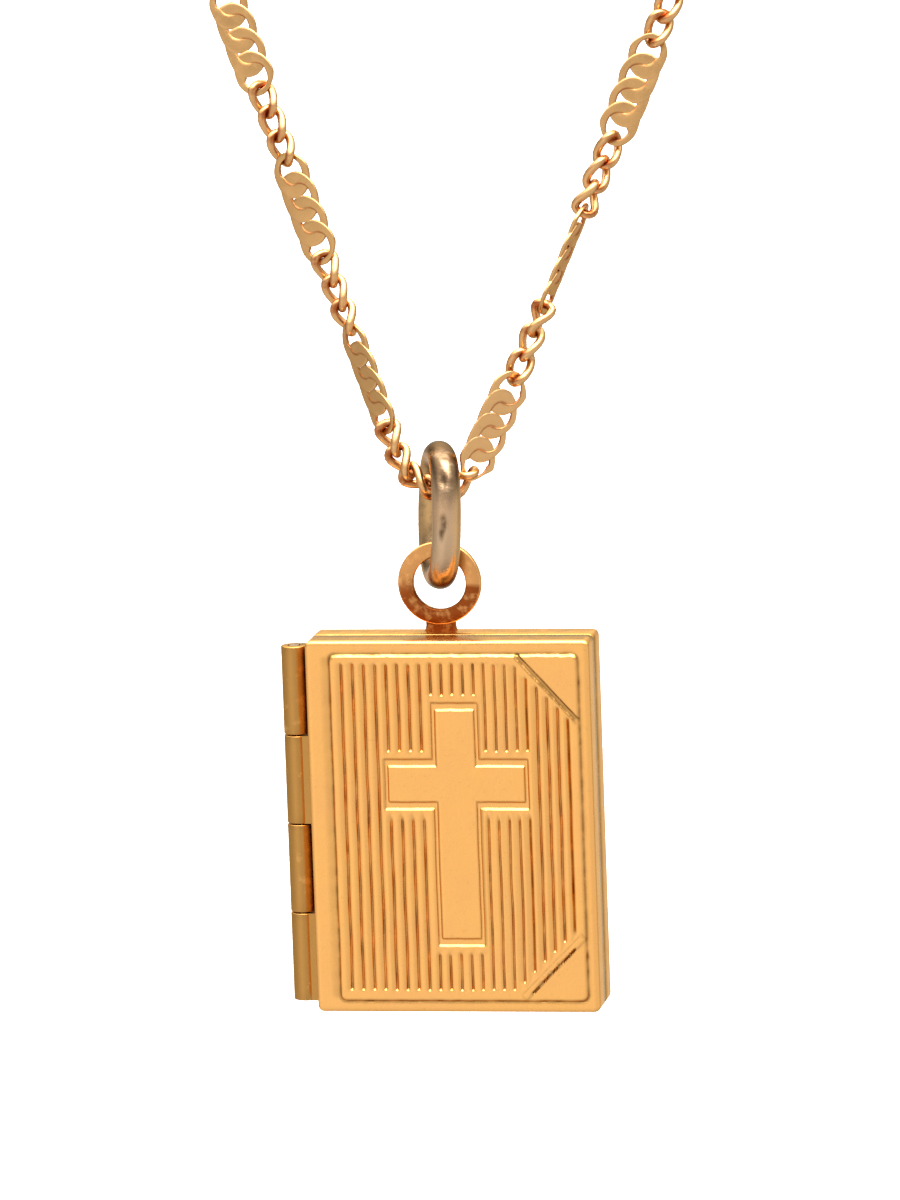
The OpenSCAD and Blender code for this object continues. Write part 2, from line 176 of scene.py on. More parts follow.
@dataclass
class Shell:
    """Gathers surfaces, each a grid of points in mm, and fuses them into one mesh."""

    points: list[Array] = field(default_factory=list)
    quads: list[Array] = field(default_factory=list)
    marks: list[Array] = field(default_factory=list)
    wears: list[Array] = field(default_factory=list)
    count: int = 0
    merge: float = 2e-7
    least_edge: float = 1e-8

    def grid(self, p: Array, wrap: tuple[bool, bool] = (False, False), flip: bool = False,
             mark: Array | float = 0.0, wear: Array | float = 0.0) -> None:
        """Adds the surface p[i, j], whose quads join p[i, j], p[i+1, j], p[i+1, j+1] and p[i, j+1].

        Args:
            p: points in mm, of shape (rows, columns, 3).
            wrap: whether the last row joins the first, and the last column the first.
            flip: turns the faces round.
            mark: how far each point is darkened towards the dark tint, from 0 to 1: painted shade, and the pressed
                bars' darker tone.
            wear: how far each point takes the worn tint, from 0 to 1: gold worn to the red metal below it, and
                painted shade and a painted highlight elsewhere.
        """
        n, m = p.shape[:2]
        i = np.arange(n if wrap[0] else n - 1)[:, None]
        j = np.arange(m if wrap[1] else m - 1)[None, :]
        k, l = (i + 1) % n, (j + 1) % m
        q = np.stack([i * m + j, k * m + j, k * m + l, i * m + l], -1).reshape(-1, 4) + self.count
        self.quads.append(q[:, ::-1] if flip else q)
        self.points.append(p.reshape(-1, 3))
        for store, value in ((self.marks, mark), (self.wears, wear)):
            store.append(np.broadcast_to(value, (n, m)).reshape(-1).astype(np.float32))
        self.count += n * m

    def lofted(self, rings: Array | list[Array], **looks: bool | float | Array) -> None:
        """Adds closed rings of equally many points, each joined to the next, with flip, mark and the worn tint's
        amount as in grid.
        """
        self.grid(np.stack(rings), (False, True), **looks)

    def moved(self, turned: Array, shift: Array) -> None:
        """Turns every point gathered so far by a 3 by 3 matrix, then shifts it by a vector in mm."""
        self.points = [p @ turned.T + shift for p in self.points]

    def mesh(self, name: str, sharp: float) -> bpy.types.Object:
        """Makes the object: one mesh in metres, its doubles merged and its soft edges shaded smooth.

        Args:
            name: the piece's name.
            sharp: edges that turn by more than this many degrees stay crisp.

        Returns:
            The object, linked to the scene, at the origin.
        """
        co = np.concatenate(self.points) * MM
        quads = np.concatenate(self.quads).astype(np.int32)
        data = bpy.data.meshes.new(name)
        data.vertices.add(len(co))
        data.vertices.foreach_set("co", co.astype(np.float32).ravel())
        data.loops.add(quads.size)
        data.loops.foreach_set("vertex_index", quads.ravel())
        data.polygons.add(len(quads))
        data.polygons.foreach_set("loop_start", np.arange(0, quads.size, 4, dtype=np.int32))
        data.update(calc_edges=True)
        for key, values in (("mark", self.marks), ("wear", self.wears)):
            data.attributes.new(key, "FLOAT", "POINT").data.foreach_set("value", np.concatenate(values))
        work = bmesh.new()
        work.from_mesh(data)
        bmesh.ops.remove_doubles(work, verts=work.verts, dist=self.merge)
        bmesh.ops.dissolve_degenerate(work, edges=work.edges, dist=self.least_edge)
        work.to_mesh(data)
        work.free()
        data.shade_smooth()
        data.set_sharp_from_angle(angle=math.radians(sharp))
        piece = bpy.data.objects.new(name, data)
        bpy.context.scene.collection.objects.link(piece)
        return piece

    def finished(self, name: str, sharp: float, finish: "Gold", body: str, slot: str, node: str) -> bpy.types.Object:
        """Makes the piece, dresses it and says what it belongs to.

        Args:
            name: the piece's name.
            sharp: edges that turn by more than this many degrees stay crisp.
            finish: the metal.
            body: the CAD body that it rides on.
            slot: the record's material slot; not used.
            node: the CAD node that it replaces.

        Returns:
            The finished object.
        """
        piece = self.mesh(name, sharp)
        finish.dress(piece)
        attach(piece, body)
        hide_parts(node)
        LOG.info("%s rides on %s, %d faces", name, body, len(piece.data.polygons))
        return piece


# ---- the hanging necklace

@dataclass
class Loop:
    """The route of the chain in its own tilted plane, x across and y up from the link in the bail."""

    pitch: float = 1.375
    link_l: float = 2.208
    cad_wire: float = 0.32
    slope: float = 68.3
    tilt: float = 5.0
    last: int = 164
    apex_links: int = 2
    apex_slack: float = 0.08
    left_slopes: tuple[float, ...] = (0, 34, 61)
    right_slopes: tuple[float, ...] = (0, 35, 66, 66, 66, 66)
    clasp_r: float = 2.5
    clasp_wire: float = 0.8
    end_ring_r: float = 1.15
    end_ring_wire: float = 0.4
    play: float = 0.1
    last_gap: float = 0.2
    period: int = 7
    bar_links: int = 4
    left_bar: int = 4
    right_bar: int = 2
    bend_span: Pair = (40.0, 140.0)
    halvings: int = 24

    def __post_init__(self) -> None:
        """Works out where both sides' links stand, from the bail to the clasp."""
        ring_wire = self.end_ring_wire / 2
        self.end_ring_x = self.clasp_r + self.end_ring_r - ring_wire - self.play - self.clasp_wire / 2
        self.last_x = self.end_ring_x + self.end_ring_r - ring_wire - self.last_gap - self.cad_wire + self.link_l / 2
        self.sides = {hand: self.closed(range(start, self.last - 5, self.period), first) for hand, start, first in (
            (Hand.LEFT, self.left_bar, self.left_slopes), (Hand.RIGHT, self.right_bar, self.right_slopes))}
        self.height = sum(stops[-1, 1] for stops, _, _ in self.sides.values()) / 2

    def route(self, bend: float, bars: range, first: tuple[float, ...]) -> tuple[Array, Array, range]:
        """Lays the links at fixed slopes first, then at slope + (k - bend) (180 - slope) / (last - bend).

        A step from link to link runs half along this link's slope and half along the next one's.

        Args:
            bend: the link number where the round end starts.
            bars: first link number of each pressed bar, which is straight.
            first: the fixed slopes beside the bail, in degrees.

        Returns:
            The middles of links 0 to last, in mm, their slopes, and the bars.
        """
        k = np.arange(self.last + 2, dtype=float)
        for start in bars:
            k[start:start + self.bar_links] = start + (self.bar_links - 1) / 2
        slopes = self.slope + np.maximum(0.0, k - bend) * (180.0 - self.slope) / (self.last - bend)
        slopes[:len(first)] = first
        way = np.stack([np.cos(np.radians(slopes)), np.sin(np.radians(slopes))], -1)
        pitch = np.full(self.last, self.pitch)
        pitch[:self.apex_links] -= self.apex_slack
        steps = pitch[:, None] / 2 * (way[:self.last] + way[1:self.last + 1])
        return np.concatenate([np.zeros((1, 2)), np.cumsum(steps, 0)]), slopes, bars

    def closed(self, bars: range, first: tuple[float, ...]) -> tuple[Array, Array, range]:
        """Halves the span of link numbers until the round end starts where the loop closes.

        Args:
            bars: first link number of each pressed bar.
            first: the fixed slopes beside the bail, in degrees.

        Returns:
            The route that closes.
        """
        low, high = self.bend_span
        for _ in range(self.halvings):
            mid = (low + high) / 2
            if self.route(mid, bars, first)[0][-1, 0] > self.last_x:
                high = mid
            else:
                low = mid
        return self.route((low + high) / 2, bars, first)

    @property
    def stand(self) -> Array:
        """The turn that stands the flat plane of the loop up and leans it back."""
        return turn("X", 90 - self.tilt)

    @property
    def apex(self) -> Array:
        """The middle of the link in the bail."""
        a = math.radians(self.tilt)
        return np.array([0.0, -self.height * math.sin(a), -self.height * math.cos(a)])


@dataclass
class Bail:
    """The thick oval ring of wire that holds the eye, over the link in it.

    Each dent is its place and width round the oval, its place and width round the wire, and its depth in mm.
    The shaded ones are also painted dark, as shade in their hollows.
    """

    loop: Loop
    wire: float = 1.54
    height: float = 7.87
    depth: float = 5.8
    turned: float = 20.0
    link_below: float = 0.92
    squareness: float = 2.3
    unevenness: float = 0.012
    shaded_dents: tuple[tuple[float, ...], ...] = (
        (0.5, 0.09, 0.34, 0.11, 0.09), (0.62, 0.1, 0.42, 0.1, 0.04), (-0.12, 0.08, 0.4, 0.1, 0.09),
        (-0.24, 0.1, 0.55, 0.09, 0.05), (0.95, 0.06, 0.1, 0.14, 0.04), (1.3, 0.05, 1.0, 0.12, 0.04))
    bright_dents: tuple[tuple[float, ...], ...] = ((0.3, 0.17, 0.36, 0.08, 0.05), (2.75, 0.2, 1.3, 0.1, 0.05))

    @property
    def top(self) -> float:
        """Height of the upper wire's middle over the link, in mm."""
        return self.link_below + self.wire / 2

    @property
    def foot(self) -> float:
        """Height of the lower wire's middle over the link, in mm."""
        return self.top - (self.depth - self.wire) - (self.height - self.depth)

    def looks(self, t: Array, s: Array, out: Array, shaded_dent_depth: Array) -> tuple[Array, Array]:
        """Where the bail is painted dark as shade, on its inner side, top and foot, rear and dents, and where a
        golden highlight is painted, on its right and rear.

        Args:
            t: angles round the oval.
            s: angles round the wire.
            out: the outward direction at each t.
            shaded_dent_depth: depth of the dents painted with shade, at each t and s, in mm.

        Returns:
            The painted shade, and the golden tint painted as a highlight, at each t and s.
        """
        # Painted shade on the inner side of the wire and in the dented hollows.
        inner = np.maximum(0.8 * smooth(0.2 - np.cos(s))[None, :], np.roll(np.minimum(22.0 * shaded_dent_depth, 1.0), 2, 0))
        up = np.cos(s) * out[:, 1:2]
        # Painted shade on the upward top and downward foot of the ring, and on its rear half.
        ends = smooth(up / 0.35) + 1.1 * smooth((-up - 0.3) / 0.5)
        rear = 0.6 * smooth(-2.0 * np.cos(t))[:, None]
        # Painted highlight: a golden band along the right side of the wire.
        side = smooth((-np.sin(s - 0.25) - 0.35) / 0.5)[None, :] * smooth((np.cos(t) - 0.3) / 0.4)[:, None]
        return np.maximum(inner, np.maximum(ends, rear)), (0.7 * side + rear) * np.maximum(1.0 - ends, 0.0)

    def build(self, finish: "Gold") -> bpy.types.Object:
        """Makes the ring: a circle of radius wire / 2 carried round the oval |x / a|^2.3 + |y / b|^2.3 = 1.

        A dent takes off deep exp(-(2 sin((t - a) / 2) / w)^2 - (sin((s - b) / 2) / c)^2).

        Args:
            finish: the metal.

        Returns:
            The bail.
        """
        rng = np.random.default_rng(SEED + 1)
        r, tall = (self.depth - self.wire) / 2, (self.height - self.wire) / 2
        t, s = around(200), around(48)
        x, y = (bent(f(t), 2.0 / self.squareness) for f in (np.cos, np.sin))
        mid = np.stack([r * x, tall * y, np.zeros_like(t)], -1)
        up = np.broadcast_to([0.0, 0.0, 1.0], mid.shape)
        out = np.cross(tangent(mid), up)
        wobble = 1.0 + self.unevenness * waves(rng, t[:, None] * 2.5 + np.cos(s), (1.2, 5.0), 7)
        shaded_dent_depth, blows = (sum(deep * np.exp(-(2.0 * np.sin((t[:, None] - a) / 2) / w) ** 2
                                           - (np.sin((s - b) / 2) / c) ** 2) for a, w, b, c, deep in dents)
                         for dents in (self.shaded_dents, self.bright_dents))
        ring = swept(mid, out, up, self.wire / 2 * wobble - shaded_dent_depth - blows, s)
        # The bail's painted shade and its painted golden highlight.
        painted_shade, wear = self.looks(t, s, out, shaded_dent_depth)
        shell = Shell()
        shell.grid(ring, (True, True), mark=painted_shade, wear=wear)
        upright = turn("Z", self.turned - 90) @ turn("X", 90)
        shell.moved(upright, self.loop.apex + [0.0, 0.0, (self.top + self.foot) / 2])
        return shell.finished("bail_ring", 60, finish, "bail", "bail_gold", "bail")


class Hand(Enum):
    """The side of the bail that a half of the chain hangs on."""

    LEFT = -1
    RIGHT = 1


@dataclass(frozen=True)
class Pressing:
    """How the links of a bar are pressed.

    On the side of the deep scallops power is the outline's and hole_y half the hole's width; hole_x is half
    its length, trim how far the bar's first end is narrowed, and dull how dark the bar's tone is.
    """

    power: float
    hole_y: float
    hole_x: float
    trim: float
    dull: float


CLOSE = Pressing(1.9, 0.62, 0.62, 0.0, 0.8)
LOOSE = Pressing(1.65, 0.68, 0.66, 0.16, 0.25)


@dataclass
class Chain:
    """One half of the chain: loose curb links, bars pressed from four links each, and the end ring."""

    loop: Loop
    hand: Hand
    rolls: tuple[Pair, ...]
    first: int
    wire: float = 0.46
    wire_by_bail: float = 0.43
    link_w: float = 1.5
    twist: float = 0.25
    apex_twist: float = 0.36
    bar_twist: float = 0.4
    bar_t: float = 0.2
    bar_w: float = 2.07
    bar_lift: float = 0.03
    tip_aside: float = 0.03
    tip_over: float = 0.02
    tip_hole: float = 0.36
    end_hole_y: float = 0.62
    shallow_power: float = 2.6
    shallow_hole_y: float = 0.48
    hole_power: float = 2.3
    edge_power: float = 0.4
    wire_points: int = 12
    link_points: int = 28
    plate_points: int = 48
    ring_points: int = 32

    def plain_link(self, twist_a: float, twist_b: float, wire: float) -> tuple[Array, Array]:
        """A curb link: round wire along an oval (long cos t, wide sin t) that rises as sin 2t times its twist.

        Args:
            twist_a: rise of the twist at the end towards -x, in mm.
            twist_b: rise of the twist at the end towards +x, in mm.
            wire: the wire's thickness, in mm.

        Returns:
            The points of the tube, of shape (link_points, wire_points, 3), in mm, and how far each takes the worn
            tint: a little everywhere, more inside its ends, as wear and painted shade where links meet.
        """
        t, s = around(self.link_points), around(self.wire_points)
        lift = np.sin(2 * t) * ((twist_b + twist_a) + (twist_b - twist_a) * np.cos(t)) / 2
        mid = np.stack([(self.loop.link_l - wire) / 2 * np.cos(t), (self.link_w - wire) / 2 * np.sin(t), lift], -1)
        along = tangent(mid)
        out = np.cross(along, [0.0, 0.0, 1.0])
        out /= np.linalg.norm(out, axis=1, keepdims=True)
        # Wear and painted shade on the inside of the link's ends, where its neighbours pass through.
        ends = smooth((np.abs(np.cos(t)) - 0.35) / 0.4)[:, None]
        return swept(mid, out, np.cross(out, along), wire / 2, s), 0.12 + 0.85 * ends * smooth(0.5 - np.cos(s))

    def pressed_link(self, low_free: bool, high_free: bool, pressing: Pressing) -> tuple[Array, Array, Array]:
        """A link of a pressed bar: a flat plate with a hole, whose inner ends reach the middles of its neighbours.

        Outline and hole are ovals |x / a|^e + |y / b|^e = 1, the outline with a smaller e on the side with
        the deep scallops. The plate's section is a box with round edges, cos and sin to the power 0.4.

        Args:
            low_free: the link is the bar's first, whose end towards -x is free.
            high_free: the link is the bar's last, whose end towards +x is free.
            pressing: how closely the bar is pressed.

        Returns:
            The points of the plate, of shape (plate_points, wire_points, 3), in mm, how dark each is, lighter on its
            outer rim, and how far the hole's inner edge takes the worn tint as painted shade.
        """
        t, s = around(self.plate_points), around(self.wire_points) + math.pi / self.wire_points
        c, v, none = np.cos(t), np.sin(t), np.zeros_like(t)
        hand, tip = -self.hand.value, self.loop.link_l / 2
        free, deep = np.where(c > 0, high_free, low_free), v * hand > 0
        e = 2.0 / np.where(deep, pressing.power, self.shallow_power)
        x = np.where(free, tip, self.loop.pitch + self.tip_over) * bent(c, e)
        y = self.bar_w / 2 * bent(v, e)
        narrow = np.where(free, smooth(np.abs(x) / 1.1) * 0.2 + pressing.trim * smooth(-x / 0.5), 0.0)
        y = y * (1.0 - narrow) - hand * self.tip_aside * (x / self.loop.pitch) ** 2 * ~free
        hole_x = np.where(free, tip - self.tip_hole, pressing.hole_x) * bent(c, 2.0 / self.hole_power)
        hole_y = np.where(free, self.end_hole_y, np.where(deep, pressing.hole_y, self.shallow_hole_y))
        hole_y = hole_y * bent(v, 2.0 / self.hole_power)
        outer, inner = np.stack([x, y, none], -1), np.stack([hole_x, hole_y, none], -1)
        out, up = bent(np.cos(s), self.edge_power), bent(np.sin(s), self.edge_power)
        p = ((outer + inner) / 2)[:, None] + out[None, :, None] * ((outer - inner) / 2)[:, None]
        p[..., 2] += up * self.bar_t / 2 - hand * self.bar_lift * np.sin(2 * t)[:, None]
        # The bar's dark tone, lighter towards its outer rim.
        dull = pressing.dull - 0.2 * smooth((np.cos(s) - 0.5) / 0.4)[None, :] * ~free[:, None]
        # Painted shade: the hole's inner edge takes the worn tint.
        return p, dull, 0.8 * smooth((-np.cos(s) - 0.3) / 0.4)[None, :]

    def build(self, name: str, node: str, finish: "Gold") -> bpy.types.Object:
        """Sets every link at its stop, slope and roll in the loop's plane, then stands the plane up.

        Args:
            name: the piece's name.
            node: the CAD node that it replaces.
            finish: the metal.

        Returns:
            The fused half of the chain.
        """
        loop, side, n = self.loop, self.hand.value, self.loop.bar_links
        stops, slopes, bars = loop.sides[self.hand]
        pressed = {k for start in bars for k in range(start, start + n)}
        numbers, angles = np.array(self.rolls).T
        shell = Shell()

        def put(p: Array, at: Array, slope: float, number: float, **looks: Array) -> None:
            """Adds a closed tube, drawn along x, at a place in the loop's plane, rolled as its link number says."""
            m = turn("Z", side * slope) @ turn("X", float(np.interp(number, numbers, angles)))
            shell.grid(p @ m.T + [side * at[0], at[1], 0.0], (True, True), **looks)

        def rise(k: int, other: int) -> float:
            """The twist of link k at the end beside link other."""
            return self.bar_twist if other in pressed else self.apex_twist if k <= loop.apex_links else self.twist

        for k in range(self.first, loop.last + 1):
            if k not in pressed:
                wire = self.wire_by_bail if side > 0 and k == self.first else self.wire
                tube, wear = self.plain_link(rise(k, k - side), rise(k, k + side), wire)
                put(tube, stops[k], slopes[k], k, wear=wear)
        for start in bars:
            low, high = start + (n - 1) // 2, start + n // 2
            pressing = LOOSE if side > 0 and start == bars[0] else CLOSE
            for i in range(n):
                plate, dull, wear = self.pressed_link(i == 0, i == n - 1, pressing)
                put(plate + [(i - (n - 1) / 2) * loop.pitch, 0.0, 0.0], (stops[low] + stops[high]) / 2,
                    slopes[low], (low + high) / 2, mark=dull, wear=wear)
        half = loop.end_ring_wire / 2
        section = [(loop.end_ring_r + half * math.cos(a), half * math.sin(a)) for a in around(self.wire_points)]
        ring = revolved(section, self.ring_points, (side * loop.end_ring_x, stops[-1][1], 0.0))
        shell.grid(ring.swapaxes(0, 1), (True, True), flip=True)
        shell.moved(loop.stand, loop.apex)
        return shell.finished(name, 50, finish, "chain", "chain_gold", node)


# ---- the locket

@dataclass
class Leaves:
    """Sizes that both covers share, and the way the closed locket hangs."""

    loop: Loop
    bail: Bail
    w: float = 15.2
    h: float = 20.0
    d: float = 1.9
    sheet: float = 0.35
    edge: float = 0.35
    edge_power: float = 0.6
    lip: float = 0.06
    fillet: float = 0.1
    seam: float = 0.1
    barrel_r: float = 0.7
    barrel_out: float = 0.9
    barrel_l: float = 19.2
    barrel_top: float = 0.5
    pin_r: float = 0.28
    hinge_gap: float = 0.07
    knuckle_n: int = 4
    bevel: float = 0.05
    bevel_mid: float = 0.015
    web: Pair = (0.12, 0.6)
    web_in: float = 0.3
    eye_x: float = 6.82
    eye_z: float = 2.55
    eye_y: float = 1.3
    eye_r: float = 2.23
    eye_hole_r: float = 1.4
    eye_t: float = 0.45
    stem_w: float = 1.6
    lean: float = 5.6
    roll: float = 1.05

    def hang(self, shell: Shell) -> None:
        """Puts a shell under the bail.

        Args:
            shell: the surfaces, drawn with the leaves' top left corner at the origin.
        """
        m = turn("X", self.lean) @ turn("Y", -self.roll)
        above = self.eye_hole_r - self.bail.wire / 2 - 2 * self.loop.play
        pivot = np.array([self.eye_x, self.eye_y, self.eye_z + above])
        shell.moved(m, self.loop.apex + [0.0, 0.0, self.bail.foot] - m @ pivot)

    def side_samples(self) -> tuple[Array, Array]:
        """Where the straight sides are cut into points: along x and along z, both from the top left corner."""
        return np.linspace(self.edge, self.w - self.edge, 60), np.linspace(self.edge, self.h - self.edge, 80)

    def ring(self, inset: float, y: float, xs: Array, zs: Array) -> Array:
        """The outline of a leaf, a rectangle with round corners of radius edge - inset, clockwise from the front.

        Args:
            inset: distance inside the leaf's outline, in mm.
            y: depth of the ring, in mm.
            xs: samples along the top and bottom, from left to right.
            zs: samples along the sides, from top to bottom.

        Returns:
            The ring's points, in mm.
        """
        r, extra = max(self.edge - inset, 0.0), max(inset - self.edge, 0.0)
        a = np.radians(np.linspace(0.0, 90.0, 7)[1:-1])
        c, s = r * np.cos(a), r * np.sin(a)
        x0, x1, z0, z1 = self.edge, self.w - self.edge, self.edge, self.h - self.edge
        fit_x = x0 + extra + (xs - x0) * (x1 - x0 - 2 * extra) / (x1 - x0)
        fit_z = z0 + extra + (zs - z0) * (z1 - z0 - 2 * extra) / (z1 - z0)
        left, right, top, low = x0 + extra, x1 - extra, z0 + extra, z1 - extra
        side, across = np.ones(len(zs)), np.ones(len(xs))
        x = np.concatenate([fit_x, right + s, (right + r) * side, right + c,
                            fit_x[::-1], left - s, (left - r) * side, left - c])
        z = np.concatenate([(top - r) * across, top - c, fit_z, low + s,
                            (low + r) * across, low + c, fit_z[::-1], top - s])
        return np.stack([x, np.full_like(x, y), -z], -1)

    def tray(self, shell: Shell, front: int, xs: Array, zs: Array) -> None:
        """Adds the rounded edge, the walls, the lip at the seam and the inside of a pressed tray.

        The edge is a tight quarter turn: inset = r (1 - cos^0.6 a), depth = d - r (1 - sin^0.6 a).

        Args:
            shell: takes the surfaces.
            front: -1 for the front leaf and 1 for the back leaf.
            xs: samples along the top and bottom edges.
            zs: samples along the sides.
        """
        def arc(inset: float, depth: float, way: int, r: float, degrees: list[float],
                power: float = 1.0) -> list[Pair]:
            """Points (inset + r (1 - cos^power a), depth + way r (1 - sin^power a)) of a round corner."""
            return [(inset + r * (1 - max(math.cos(a), 0.0) ** power), depth + way * r * (1 - math.sin(a) ** power))
                    for a in np.radians(degrees)]

        half, floor, lip, inset = self.seam / 2, self.d - self.sheet, self.lip, self.sheet + self.fillet
        profile = arc(0.0, self.d, -1, self.edge, [90.0, 86.0, 76.0, 60.0, 42.0, 24.0, 8.0, 1.0], self.edge_power)
        n = len(profile)
        profile += [(0.0, v) for v in np.linspace(self.d - self.edge, half + lip, 3)]
        profile += arc(0.0, half, 1, lip, [45.0, 90.0]) + arc(self.sheet - lip, half, 1, lip, [90.0, 45.0])
        profile += [(self.sheet, half + lip), (self.sheet, floor - self.fillet)]
        profile += arc(self.sheet, floor, -1, self.fillet, [45.0, 90.0])
        # Painted shade: the lip inside the seam is dark, and the top of the outer wall is darkened a little.
        painted_shade, top_wall_shade = np.zeros((2, len(profile), 1))
        painted_shade[n + 2:n + 7] = 1.0
        top_wall_shade[n - 1:n + 2] = 0.45
        rings = np.stack([self.ring(i, front * v, xs, zs) for i, v in profile])
        shell.lofted(rings, flip=front > 0, mark=np.maximum(painted_shade, top_wall_shade * (rings[..., 2] > -0.01)))
        inside = Face.cut(np.linspace(inset, self.w - inset, 4), np.linspace(inset, self.h - inset, 4))
        shell.grid(inside.at(front * floor), flip=front < 0)

    def knuckles(self, shell: Shell, numbers: tuple[int, int], front: int, **looks: float) -> None:
        """Adds hinge knuckles: a tube with bevelled ends round the pin, and the plain web that joins it to its leaf.

        Args:
            shell: takes the surfaces.
            numbers: which of the knuckles, counted from 0 at the top.
            front: -1 for the front leaf and 1 for the back leaf.
            looks: the mark or worn-tint amount that paints the barrel and its web brown as shade.
        """
        length, bore, r = self.barrel_l / self.knuckle_n, self.pin_r + self.hinge_gap, self.barrel_r
        for i in numbers:
            high = -self.barrel_top - i * length - self.hinge_gap / 2
            low = high - length + self.hinge_gap
            profile = [(bore, high), (r - self.bevel, high), (r - self.bevel_mid, high - self.bevel_mid)]
            profile += [(r, v) for v in np.linspace(high - self.bevel, low + self.bevel, 9)]
            profile += [(r - self.bevel_mid, low + self.bevel_mid), (r - self.bevel, low), (bore, low)]
            shell.grid(revolved(profile, 48, (-self.barrel_out, 0.0, 0.0), upright=True), (True, True), **looks)
            y0, y1 = sorted((front * self.web[0], front * self.web[1]))
            shell.lofted([np.array([[x, y0, high], [x, y1, high], [x, y1, low], [x, y0, low]])
                          for x in (-self.barrel_out + self.web_in, self.sheet / 2)], flip=True, **looks)


@dataclass(frozen=True)
class Cut:
    """A pressed line: half its width and how deep or high it is, in mm."""

    half: float
    deep: float


@dataclass
class Relief:
    """The pressed front: a raised panel of ribs with a plain cross, and slanting lines at two corners.

    The cross's upright and bar are each a width, a top and a bottom, in mm.
    """

    leaves: Leaves
    rise: float = 0.12
    left: float = 1.31
    right: float = 14.58
    top: float = 0.75
    bottom: float = 19.35
    grooves: int = 22
    groove_x: float = 1.94
    groove_pitch: float = 0.573
    groove_ease: float = 0.0017
    groove_top: float = 1.15
    groove_bottom: float = 18.8
    groove: Cut = Cut(0.055, 0.11)
    shoulder: Cut = Cut(0.17, 0.03)
    outline: Cut = Cut(0.085, 0.075)
    upper: Cut = Cut(0.12, 0.1)
    lower: Cut = Cut(0.06, 0.13)
    ridge: Cut = Cut(0.2, 0.045)
    moat_deep: float = 0.115
    crown: float = 0.017
    cross_x: float = 7.93
    upright: Triple = (2.1, 3.68, 15.98)
    bar: Triple = (7.3, 6.7, 8.62)
    moat_w: float = 0.38
    moat_side: float = 0.2
    border_w: float = 0.38
    corner_l: float = 3.4
    corner_clear: Pair = (0.5, 0.92)
    round: float = 0.32

    def stops(self) -> Array:
        """Where the grooves stand: x = first + i pitch + ease i (n - 1 - i)."""
        i = np.arange(self.grooves)
        return self.groove_x + i * self.groove_pitch + self.groove_ease * i * (self.grooves - 1 - i)

    def stretches(self, x: float) -> list[Pair]:
        """The stretches of a groove that the cross and the corners leave.

        Args:
            x: where the groove stands, in mm.

        Returns:
            The top and bottom of each stretch, from the upper one down.
        """
        off, into, gap = abs(x - self.cross_x), x - self.right + self.corner_l, self.moat_w + self.border_w
        top = max(self.groove_top, self.top + into + self.corner_clear[0])
        bottom = min(self.groove_bottom, self.bottom - into - self.corner_clear[1])
        for width, high, low in (self.upright, self.bar):
            if off < width / 2 + self.moat_side + self.border_w / 2:
                return [(top, high - gap), (low + gap, bottom)]
        return [(top, bottom)]

    def samples(self) -> tuple[Array, Array]:
        """Cuts the front into points, fine across each groove and along each edge of the relief.

        Returns:
            The samples along x and along z, in mm.
        """
        low, wide, tall = self.leaves.edge, self.leaves.w - self.leaves.edge, self.leaves.h - self.leaves.edge
        past, fine, near = 0.1, 0.08, np.array([0.02, 0.045, 0.075, 0.12, 0.2])
        near, edge = np.concatenate([-near, [0.0], near]), np.arange(-3, 4) * 0.04

        def thinned(parts: list[Array], high: float, least: float) -> Array:
            """Sorts the samples, keeps the ends and drops those nearer than least to the one before."""
            keep, v = [low], np.sort(np.concatenate(parts))
            for s in v[(v > low + least / 2) & (v < high - least / 2)]:
                if s - keep[-1] >= least:
                    keep.append(s)
            return np.array(keep + [high])

        x_edges = [self.left, self.right]
        z_edges = [self.top, self.bottom, self.groove_top + 0.05, self.groove_bottom - 0.05]
        for width, top, bottom in (self.upright, self.bar):
            x_edges += [self.cross_x - width / 2 - past, self.cross_x + width / 2 + past]
            z_edges += [top, top - self.moat_w, top - self.moat_w - self.border_w, bottom, bottom + self.moat_w]
        xs = [np.linspace(low, wide, 36), np.arange(self.right - self.corner_l, self.right, fine),
              (self.stops()[:, None] + near).ravel()] + [v + edge for v in x_edges]
        zs = [np.arange(low, tall + 0.001, 0.19)] + [v + edge for v in z_edges]
        zs += [np.arange(v, v + self.corner_l + past, fine) for v in (self.top, self.bottom - self.corner_l - past)]
        return thinned(xs, wide, 0.022), thinned(zs, tall, 0.03)

    def cross(self, face: Face, side: float, end: float, soft: Pair) -> Array:
        """The soft-edged cross, grown by side and end: the higher of its two rectangles."""
        return np.maximum(*(face.box((self.cross_x - width / 2 - side, top - end),
                                     (self.cross_x + width / 2 + side, bottom + end), soft)
                            for width, top, bottom in (self.upright, self.bar)))

    def corners(self, face: Face) -> tuple[Array, ...]:
        """The slanting lines of the two corners.

        Args:
            face: the points.

        Returns:
            The upper line, the painted shade along its edges, the lower line and the ridge round that, each from 0 to
            1.
        """
        start, top, bottom = self.right - self.corner_l, self.top + self.corner_l, self.bottom - self.corner_l
        cut = (start + 0.12, self.top), (self.right - 0.1, top + 0.1)
        # Painted shade along both edges of the upper slanting line.
        slant_shade = face.slant(*cut, 0.17) - 0.4 * face.slant(*cut, 0.08)
        lower = face.slant((start + 0.42, self.bottom - 0.4), (self.right - 0.55, bottom + 0.55), self.lower.half)
        ridge = face.slant((start, self.bottom - 0.2), (self.right - 0.12, bottom - 0.08), self.ridge.half)
        return face.slant(*cut, self.upper.half), slant_shade, lower, ridge

